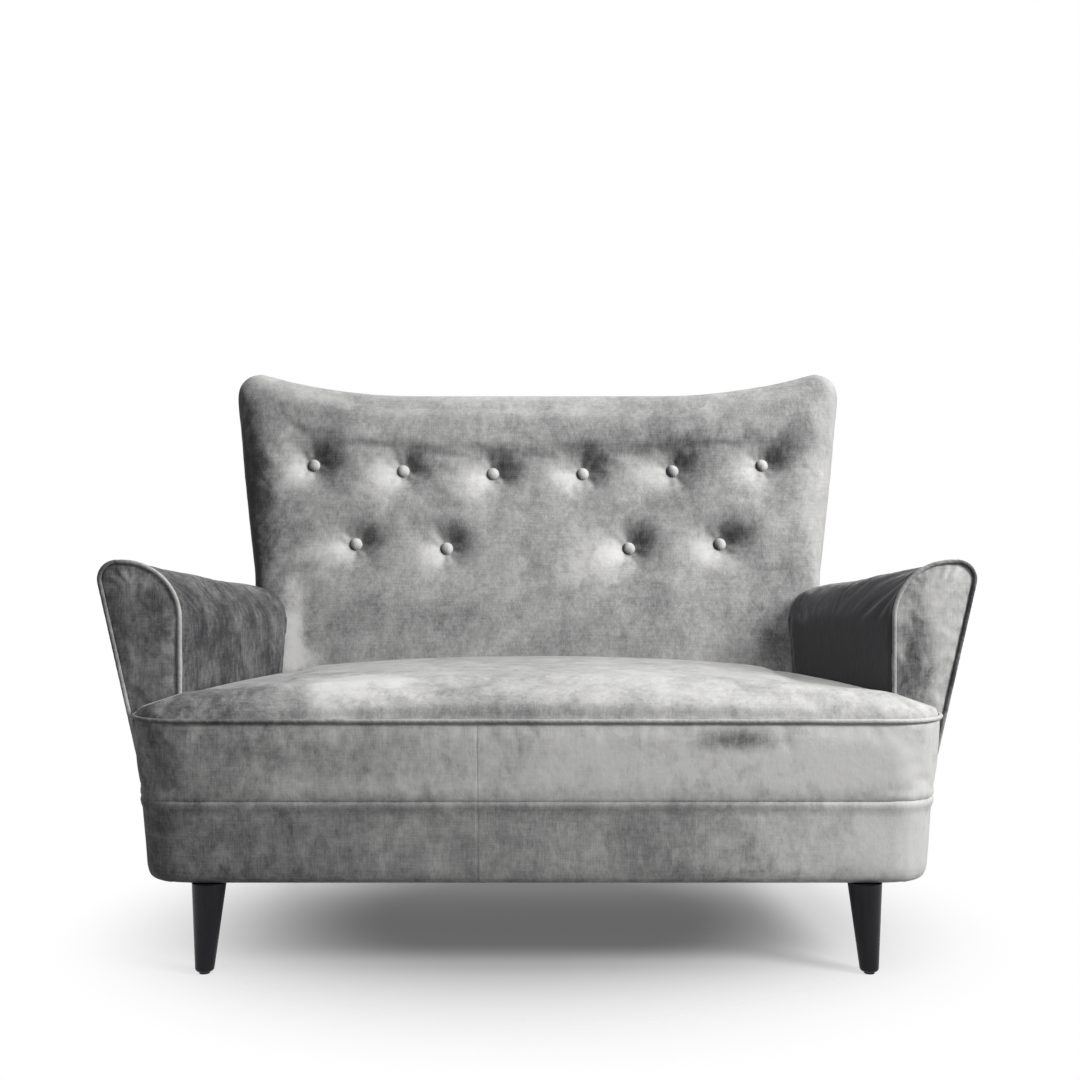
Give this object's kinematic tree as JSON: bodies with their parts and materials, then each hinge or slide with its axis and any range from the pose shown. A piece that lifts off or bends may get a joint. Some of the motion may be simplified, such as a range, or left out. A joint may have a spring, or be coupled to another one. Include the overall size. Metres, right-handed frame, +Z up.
{
  "type": "two-seater sofa",
  "caption": "Upholstered loveseat sofa with a button-tufted raked back, flared piped arms, a crowned seat that runs in front of the arms, a velvet-covered base and tapered legs.",
  "frame": {"origin": "on the floor, under the middle of the sofa's overall box", "axes": "+Z up, +X to the right as seen from the front, +Y from the front of the seat to the back"},
  "size_m": [1.3762, 0.7981, 0.9934],
  "materials": {
    "velvet": "grey crushed velvet, soft sheen",
    "leg_wood": "near-black stain, satin",
    "frame_wood": "bare, sawn",
    "foam": "open-cell upholstery foam, matt",
    "wadding": "soft polyester wadding, matt",
    "webbing": "woven elastic webbing, matt",
    "lining": "thin woven lining cloth, matt",
    "twine": "waxed twine",
    "steel": "zinc plated",
    "glide": "matt black"
  },
  "bodies": {
    "root": {"back_cloth": "lining", "back_foam": "foam", "base_band": "velvet", "base_wadding": "wadding", "button_twines": "twine", "centre_stretcher": "frame_wood", "corner_blocks": "frame_wood", "crest_rail": "frame_wood", "dust_cover": "lining", "frame_dowels": "frame_wood", "front_rail": "frame_wood", "hanger_bolts": "steel", "inside_back_cover": "velvet", "left_arm_foam": "foam", "left_arm_front_board": "frame_wood", "left_arm_front_panel": "velvet", "left_arm_piping": "velvet", "left_arm_rear_board": "frame_wood", "left_arm_tack_rail": "frame_wood", "left_arm_top_rail": "frame_wood", "left_back_post": "frame_wood", "left_front_leg": "leg_wood", "left_inside_arm_cover": "velvet", "left_outside_arm_cover": "velvet", "left_rear_leg": "leg_wood", "left_side_rail": "frame_wood", "leg_glides": "glide", "leg_inserts": "steel", "lower_button_rail": "frame_wood", "lower_row_buttons": "velvet", "lumbar_rail": "frame_wood", "outside_back_cover": "velvet", "outside_back_wadding": "wadding", "platform_cloth": "lining", "rear_rail": "frame_wood", "right_arm_foam": "foam", "right_arm_front_board": "frame_wood", "right_arm_front_panel": "velvet", "right_arm_piping": "velvet", "right_arm_rear_board": "frame_wood", "right_arm_tack_rail": "frame_wood", "right_arm_top_rail": "frame_wood", "right_back_post": "frame_wood", "right_front_leg": "leg_wood", "right_inside_arm_cover": "velvet", "right_outside_arm_cover": "velvet", "right_rear_leg": "leg_wood", "right_side_rail": "frame_wood", "seat_back_rail": "frame_wood", "seat_cover": "velvet", "seat_foam": "foam", "seat_front_border": "velvet", "seat_piping": "velvet", "seat_webbing_cross": "webbing", "seat_webbing_long": "webbing", "twine_washers": "steel", "upper_button_rail": "frame_wood", "upper_row_buttons": "velvet"}
  },
  "joints": []
}
